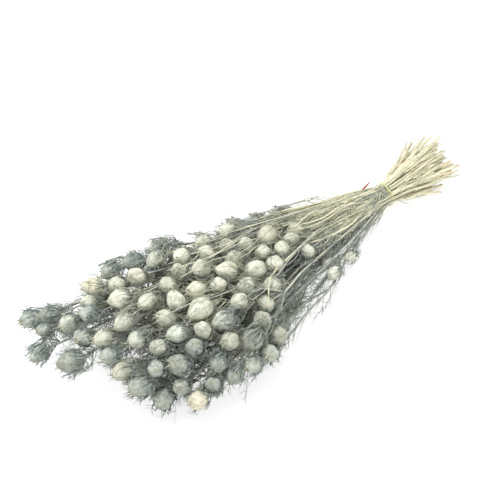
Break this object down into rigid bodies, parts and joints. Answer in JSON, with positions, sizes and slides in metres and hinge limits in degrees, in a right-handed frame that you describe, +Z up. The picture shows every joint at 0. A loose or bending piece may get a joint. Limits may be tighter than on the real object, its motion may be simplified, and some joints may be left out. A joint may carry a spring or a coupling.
{
  "type": "dried nigella seed pod bunch",
  "caption": "Tied bunch of dried nigella lying down: pale ribbed seed pods on thin branching stems, held by a thin green rubber band.",
  "frame": {"origin": "on the surface that the bunch lies on, under the middle of its box", "axes": "+X along the bunch towards its cut stem ends, +Z up, so the pods are towards -X"},
  "size_m": [0.533, 0.2118, 0.0951],
  "materials": {
    "dried_plant": "matte",
    "band": "satin"
  },
  "bodies": {
    "root": {"spray_01": "dried_plant", "spray_02": "dried_plant", "spray_03": "dried_plant", "spray_04": "dried_plant", "spray_05": "dried_plant", "spray_06": "dried_plant", "spray_07": "dried_plant", "spray_08": "dried_plant", "spray_09": "dried_plant", "spray_10": "dried_plant", "spray_11": "dried_plant", "spray_12": "dried_plant", "spray_13": "dried_plant", "spray_14": "dried_plant", "spray_15": "dried_plant", "spray_16": "dried_plant", "spray_17": "dried_plant", "spray_18": "dried_plant", "spray_19": "dried_plant", "spray_20": "dried_plant", "spray_21": "dried_plant", "spray_22": "dried_plant", "spray_23": "dried_plant", "spray_24": "dried_plant", "spray_25": "dried_plant", "spray_26": "dried_plant", "spray_27": "dried_plant", "spray_28": "dried_plant", "spray_29": "dried_plant", "spray_30": "dried_plant", "spray_31": "dried_plant", "spray_32": "dried_plant", "spray_33": "dried_plant", "spray_34": "dried_plant", "spray_35": "dried_plant", "spray_36": "dried_plant", "spray_37": "dried_plant", "spray_38": "dried_plant", "spray_39": "dried_plant", "spray_40": "dried_plant", "spray_41": "dried_plant", "spray_42": "dried_plant", "spray_43": "dried_plant", "spray_44": "dried_plant", "spray_45": "dried_plant", "spray_46": "dried_plant", "spray_47": "dried_plant", "spray_48": "dried_plant", "spray_49": "dried_plant", "tie": "band"}
  },
  "joints": []
}
